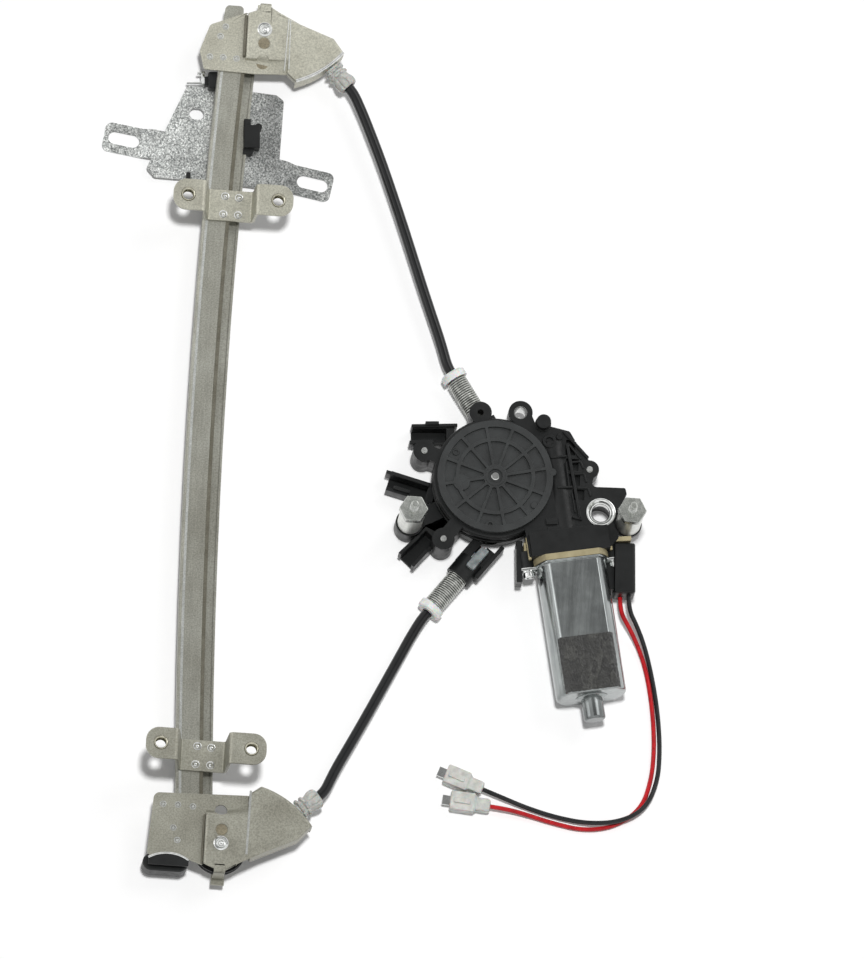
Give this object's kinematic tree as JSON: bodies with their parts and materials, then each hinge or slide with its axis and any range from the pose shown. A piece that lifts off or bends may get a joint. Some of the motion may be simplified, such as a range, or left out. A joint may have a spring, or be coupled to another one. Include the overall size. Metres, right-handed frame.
{
  "type": "window regulator",
  "caption": "Cable window regulator: arched guide rail, glass carrier, pulleys, conduits and a worm drive unit with its motor, laid flat.",
  "frame": {"origin": "middle of the regulator's bounding box in plan, at the lowest face it lies on", "axes": "+X from the rail towards the motor, +Y along the rail towards its upper end, +Z from the carrier side to the face with the brackets"},
  "size_m": [0.2847, 0.4398, 0.045],
  "materials": {
    "black_insulation": "extruded",
    "black_plastic": "moulded, satin",
    "black_rubber": "matt",
    "black_sheath": "extruded, slightly glossy",
    "bracket_steel": "zinc plated, satin",
    "brass_zinc": "yellow zinc",
    "bright_steel": "bright zinc",
    "clear_nylon": "translucent",
    "copper": "bare",
    "ferrite": "dark",
    "galvanised_rail": "galvanised, satin",
    "grey_nylon": "moulded",
    "motor_steel": "drawn, plated",
    "pulley_plastic": "moulded",
    "red_insulation": "extruded",
    "spangled_zinc": "spangled zinc",
    "spring_steel": "bright wire",
    "tan_plastic": "moulded",
    "turned_steel": "turned, zinc plated",
    "white_nylon": "natural nylon",
    "wire_rope": "greased rope"
  },
  "bodies": {
    "base": {"black_lead_housing": "clear_nylon", "black_lead_terminal": "bright_steel", "brush_card": "tan_plastic", "can_screws": "bright_steel", "connector_block": "black_plastic", "drum_axle": "bright_steel", "drum_housing": "black_plastic", "gear_cover": "black_plastic", "gearbox_housing": "black_plastic", "guide_rail": "galvanised_rail", "housing_screws": "bright_steel", "lead_black": "black_insulation", "lead_red": "red_insulation", "lower_back_plate": "bracket_steel", "lower_conduit": "black_sheath", "lower_ferrule": "white_nylon", "lower_mounting_strap": "bracket_steel", "lower_pulley_bracket": "bracket_steel", "lower_pulley_rivet": "bright_steel", "lower_spigot": "grey_nylon", "lower_spring_cap": "white_nylon", "lower_tension_spring": "spring_steel", "motor_can": "motor_steel", "motor_magnets": "ferrite", "mounting_bush": "bright_steel", "rail_cable": "wire_rope", "red_lead_housing": "clear_nylon", "red_lead_terminal": "bright_steel", "shaft_bearing": "copper", "standoff_sleeves": "turned_steel", "standoff_studs": "turned_steel", "stop_bumper": "black_rubber", "upper_back_plate": "bracket_steel", "upper_conduit": "black_sheath", "upper_ferrule": "white_nylon", "upper_mounting_strap": "bracket_steel", "upper_pulley_bracket": "bracket_steel", "upper_pulley_rivet": "bright_steel", "upper_spigot": "grey_nylon", "upper_spring_cap": "white_nylon", "upper_tension_spring": "spring_steel", "weld_nuts": "brass_zinc"},
    "carrier": {"carrier_plate": "spangled_zinc", "guide_shoes_left": "black_plastic", "guide_shoe_right": "black_plastic", "cable_anchor": "black_plastic"},
    "drum": {"cable_drum": "white_nylon", "worm_wheel": "white_nylon", "wheel_damper": "black_rubber"},
    "armature": {"armature_shaft": "bright_steel", "armature_core": "ferrite", "commutator": "copper"},
    "top_pulley": {"upper_pulley": "pulley_plastic"},
    "low_pulley": {"lower_pulley": "pulley_plastic"}
  },
  "joints": [
    {"name": "armature_spin", "type": "hinge", "parent": "base", "child": "armature", "pos_m": [0.1027, -0.0513, 0.013], "axis": [0.1994, -0.9799, 0], "range_deg": [-3904.79, 91483.66]},
    {"name": "drum_spin", "type": "hinge", "parent": "base", "child": "drum", "pos_m": [0.0637, -0.0129, 0.005], "axis": [0, 0, 1], "range_deg": [-53.49, 1253.2]},
    {"name": "carrier_travel", "type": "hinge", "parent": "base", "child": "carrier", "pos_m": [3.3421, -0.005, 0.003], "axis": [0, 0, 1], "range_deg": [-0.23, 5.5]},
    {"name": "top_pulley_spin", "type": "hinge", "parent": "base", "child": "top_pulley", "pos_m": [-0.05857, 0.2026, 0.0099], "axis": [0, 0, 1], "range_deg": [-78.66, 1842.94]},
    {"name": "low_pulley_spin", "type": "hinge", "parent": "base", "child": "low_pulley", "pos_m": [-0.05789, -0.2038, 0.0099], "axis": [0, 0, 1], "range_deg": [-70.38, 1648.95]}
  ],
  "couplings": [
    {"joint": "drum_spin", "follows": "carrier_travel", "ratio": 227.81},
    {"joint": "armature_spin", "follows": "carrier_travel", "ratio": 16630},
    {"joint": "top_pulley_spin", "follows": "carrier_travel", "ratio": 335.02},
    {"joint": "low_pulley_spin", "follows": "carrier_travel", "ratio": 299.75}
  ]
}
